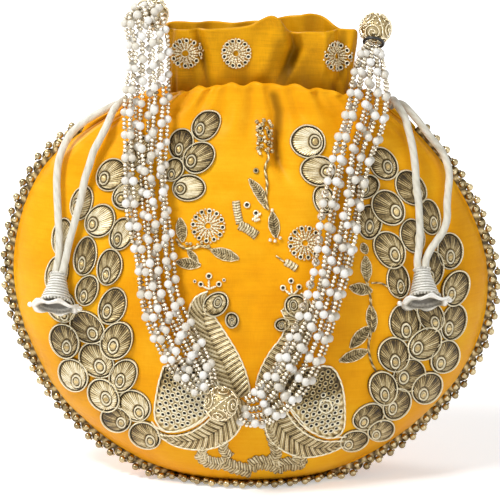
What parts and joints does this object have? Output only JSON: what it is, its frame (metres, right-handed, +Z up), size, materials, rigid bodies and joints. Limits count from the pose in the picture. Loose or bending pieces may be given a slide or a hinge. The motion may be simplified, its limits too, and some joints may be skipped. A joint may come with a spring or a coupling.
{
  "type": "potli bag",
  "caption": "Round stuffed silk drawstring pouch with a beaded edge lace, peacock embroidery, gathered frilled neck, hanging cord bells and a pearl strand handle.",
  "frame": {"origin": "middle of the flat base, on the surface that the bag stands on", "axes": "+Z up, the embroidered front faces -Y, +X to the right as the front is seen"},
  "size_m": [0.2189, 0.1022, 0.2132],
  "materials": {
    "silk_orange": "satin dupion",
    "lining_cloth": "plain weave",
    "gold_bead": "polished beads on lace",
    "gold_embroidery": "metal thread and sequins",
    "pearl": "pearl lustre",
    "filigree_gold": "filigree",
    "cord_ivory": "satin",
    "bell_silver": "wound metal thread",
    "black_ring": "matt"
  },
  "bodies": {
    "bag": {"front_panel": "silk_orange", "back_panel": "silk_orange", "lining": "lining_cloth", "neck_frill": "silk_orange", "bead_lace": "gold_bead", "left_drawstring": "cord_ivory", "right_drawstring": "cord_ivory", "left_cord_outer": "cord_ivory", "left_cord_inner": "cord_ivory", "right_cord_inner": "cord_ivory", "right_cord_outer": "cord_ivory", "left_bell": "bell_silver", "right_bell": "bell_silver", "left_shoulder_feathers": "gold_embroidery", "left_feathers": "gold_embroidery", "left_top_feathers": "gold_embroidery", "right_shoulder_feathers": "gold_embroidery", "right_feathers": "gold_embroidery", "right_top_feathers": "gold_embroidery", "left_peacock": "gold_embroidery", "right_peacock": "gold_embroidery", "left_flower": "gold_embroidery", "right_flower": "gold_embroidery", "centre_sprig": "gold_embroidery", "left_sprig": "gold_embroidery", "right_sprig": "gold_embroidery", "frill_flower_left": "gold_embroidery", "frill_flower_centre": "gold_embroidery", "frill_flower_right": "gold_embroidery"},
    "handle": {"left_strand_1": "pearl", "left_strand_2": "pearl", "left_strand_3": "pearl", "left_strand_4": "pearl", "left_strand_5": "pearl", "left_strand_6": "pearl", "left_handle_ball": "filigree_gold", "left_mouth_ring": "filigree_gold", "right_strand_1": "pearl", "right_strand_2": "pearl", "right_strand_3": "pearl", "right_strand_4": "pearl", "right_strand_5": "pearl", "right_strand_6": "pearl", "right_handle_ball": "filigree_gold", "right_mouth_ring": "black_ring", "centre_ball": "filigree_gold"}
  },
  "joints": [
    {"name": "handle_swing", "type": "hinge", "parent": "bag", "child": "handle", "pos_m": [0.0057, -0.00585, 0.202], "axis": [-0.9926, -0.0894, 0.0822], "range_deg": [0, 165]}
  ]
}
